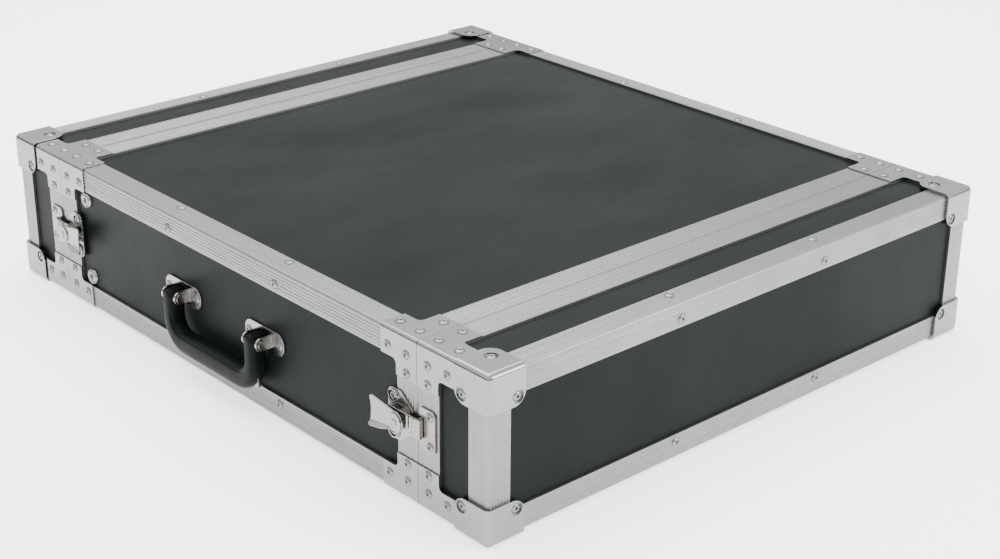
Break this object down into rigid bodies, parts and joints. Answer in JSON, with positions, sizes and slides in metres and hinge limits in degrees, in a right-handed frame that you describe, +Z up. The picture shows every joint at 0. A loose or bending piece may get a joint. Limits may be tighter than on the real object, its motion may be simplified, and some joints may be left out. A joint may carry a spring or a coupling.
{
  "type": "equipment rack case",
  "caption": "Shallow rack case with a laminated sleeve, lift-off front and rear lids, aluminium edging, butterfly latches, corner caps and a side carrying handle.",
  "frame": {"origin": "middle of the underside, on the plane of the bottom corner caps", "axes": "+X across the width, +Y along the depth towards the front lid and rack strips, +Z up"},
  "size_m": [0.5437, 0.6148, 0.1288],
  "materials": {
    "laminate": "black satin laminate on plywood",
    "aluminium": "satin extruded, with fine ribs",
    "zinc_plate": "zinc plated sheet steel",
    "rivet_steel": "bright plated",
    "nickel": "nickel plated pressed steel",
    "strip_steel": "black coated steel",
    "grip_plastic": "moulded, fine texture"
  },
  "bodies": {
    "case_body": {"body_top_panel": "laminate", "body_bottom_panel": "laminate", "body_left_panel": "laminate", "body_right_panel": "laminate", "top_left_edge_angle": "aluminium", "top_right_edge_angle": "aluminium", "bottom_left_edge_angle": "aluminium", "bottom_right_edge_angle": "aluminium", "rear_body_seam_frame": "aluminium", "front_body_seam_frame": "aluminium", "rear_body_corner_braces": "zinc_plate", "front_body_corner_braces": "zinc_plate", "body_rivets": "rivet_steel", "left_rack_strip": "strip_steel", "right_rack_strip": "strip_steel", "rack_strip_screws": "nickel", "rack_strip_cup_washers": "nickel", "rack_strip_nuts": "nickel", "front_handle_bracket": "nickel", "rear_handle_bracket": "nickel", "handle_rivets": "rivet_steel", "latch_base_rivets": "rivet_steel", "rear_left_latch_base": "nickel", "rear_right_latch_base": "nickel", "front_left_latch_base": "nickel", "front_right_latch_base": "nickel"},
    "front_lid": {"front_lid_face_panel": "laminate", "front_lid_wall_panels": "laminate", "front_lid_edge_angles": "aluminium", "front_lid_seam_frame": "aluminium", "front_lid_corner_caps": "zinc_plate", "front_lid_corner_braces": "zinc_plate", "front_lid_rivets": "rivet_steel", "front_left_latch_keeper": "nickel", "front_right_latch_keeper": "nickel"},
    "rear_lid": {"rear_lid_face_panel": "laminate", "rear_lid_wall_panels": "laminate", "rear_lid_edge_angles": "aluminium", "rear_lid_seam_frame": "aluminium", "rear_lid_corner_caps": "zinc_plate", "rear_lid_corner_braces": "zinc_plate", "rear_lid_rivets": "rivet_steel", "rear_left_latch_keeper": "nickel", "rear_right_latch_keeper": "nickel"},
    "handle": {"handle_grip": "grip_plastic", "handle_core": "strip_steel", "handle_pins": "nickel"},
    "rear_left_latch_rotor": {"rear_left_latch_spindle": "nickel", "rear_left_latch_wing": "nickel"},
    "rear_left_latch_hook_body": {"rear_left_latch_hook": "nickel"},
    "rear_right_latch_rotor": {"rear_right_latch_spindle": "nickel", "rear_right_latch_wing": "nickel"},
    "rear_right_latch_hook_body": {"rear_right_latch_hook": "nickel"},
    "front_left_latch_rotor": {"front_left_latch_spindle": "nickel", "front_left_latch_wing": "nickel"},
    "front_left_latch_hook_body": {"front_left_latch_hook": "nickel"},
    "front_right_latch_rotor": {"front_right_latch_spindle": "nickel", "front_right_latch_wing": "nickel"},
    "front_right_latch_hook_body": {"front_right_latch_hook": "nickel"}
  },
  "joints": [
    {"name": "front_lid_lift_off", "type": "slide", "parent": "case_body", "child": "front_lid", "axis": [0, 1, 0], "range_m": [0, 0.12]},
    {"name": "rear_lid_lift_off", "type": "slide", "parent": "case_body", "child": "rear_lid", "axis": [0, -1, 0], "range_m": [0, 0.12]},
    {"name": "handle_swing", "type": "hinge", "parent": "case_body", "child": "handle", "pos_m": [-0.2665, 0, 0.0644], "axis": [0, 1, 0], "range_deg": [0, 175]},
    {"name": "rear_left_latch_turn", "type": "hinge", "parent": "case_body", "child": "rear_left_latch_rotor", "pos_m": [-0.262, -0.2205, 0.0644], "axis": [-1, 0, 0], "range_deg": [0, 180]},
    {"name": "rear_left_latch_draw", "type": "slide", "parent": "case_body", "child": "rear_left_latch_hook_body", "axis": [-0.2873, -0.9578, 0], "range_m": [0, 0.0084]},
    {"name": "rear_right_latch_turn", "type": "hinge", "parent": "case_body", "child": "rear_right_latch_rotor", "pos_m": [0.262, -0.2205, 0.0644], "axis": [-1, 0, 0], "range_deg": [0, 180]},
    {"name": "rear_right_latch_draw", "type": "slide", "parent": "case_body", "child": "rear_right_latch_hook_body", "axis": [0.2873, -0.9578, 0], "range_m": [0, 0.0084]},
    {"name": "front_left_latch_turn", "type": "hinge", "parent": "case_body", "child": "front_left_latch_rotor", "pos_m": [-0.262, 0.2205, 0.0644], "axis": [1, 0, 0], "range_deg": [0, 180]},
    {"name": "front_left_latch_draw", "type": "slide", "parent": "case_body", "child": "front_left_latch_hook_body", "axis": [-0.2873, 0.9578, 0], "range_m": [0, 0.0084]},
    {"name": "front_right_latch_turn", "type": "hinge", "parent": "case_body", "child": "front_right_latch_rotor", "pos_m": [0.262, 0.2205, 0.0644], "axis": [1, 0, 0], "range_deg": [0, 180]},
    {"name": "front_right_latch_draw", "type": "slide", "parent": "case_body", "child": "front_right_latch_hook_body", "axis": [0.2873, 0.9578, 0], "range_m": [0, 0.0084]}
  ],
  "couplings": [
    {"joint": "rear_left_latch_draw", "follows": "rear_left_latch_turn", "m_per_rad": 0.00265},
    {"joint": "rear_right_latch_draw", "follows": "rear_right_latch_turn", "m_per_rad": 0.00265},
    {"joint": "front_left_latch_draw", "follows": "front_left_latch_turn", "m_per_rad": 0.00265},
    {"joint": "front_right_latch_draw", "follows": "front_right_latch_turn", "m_per_rad": 0.00265}
  ]
}
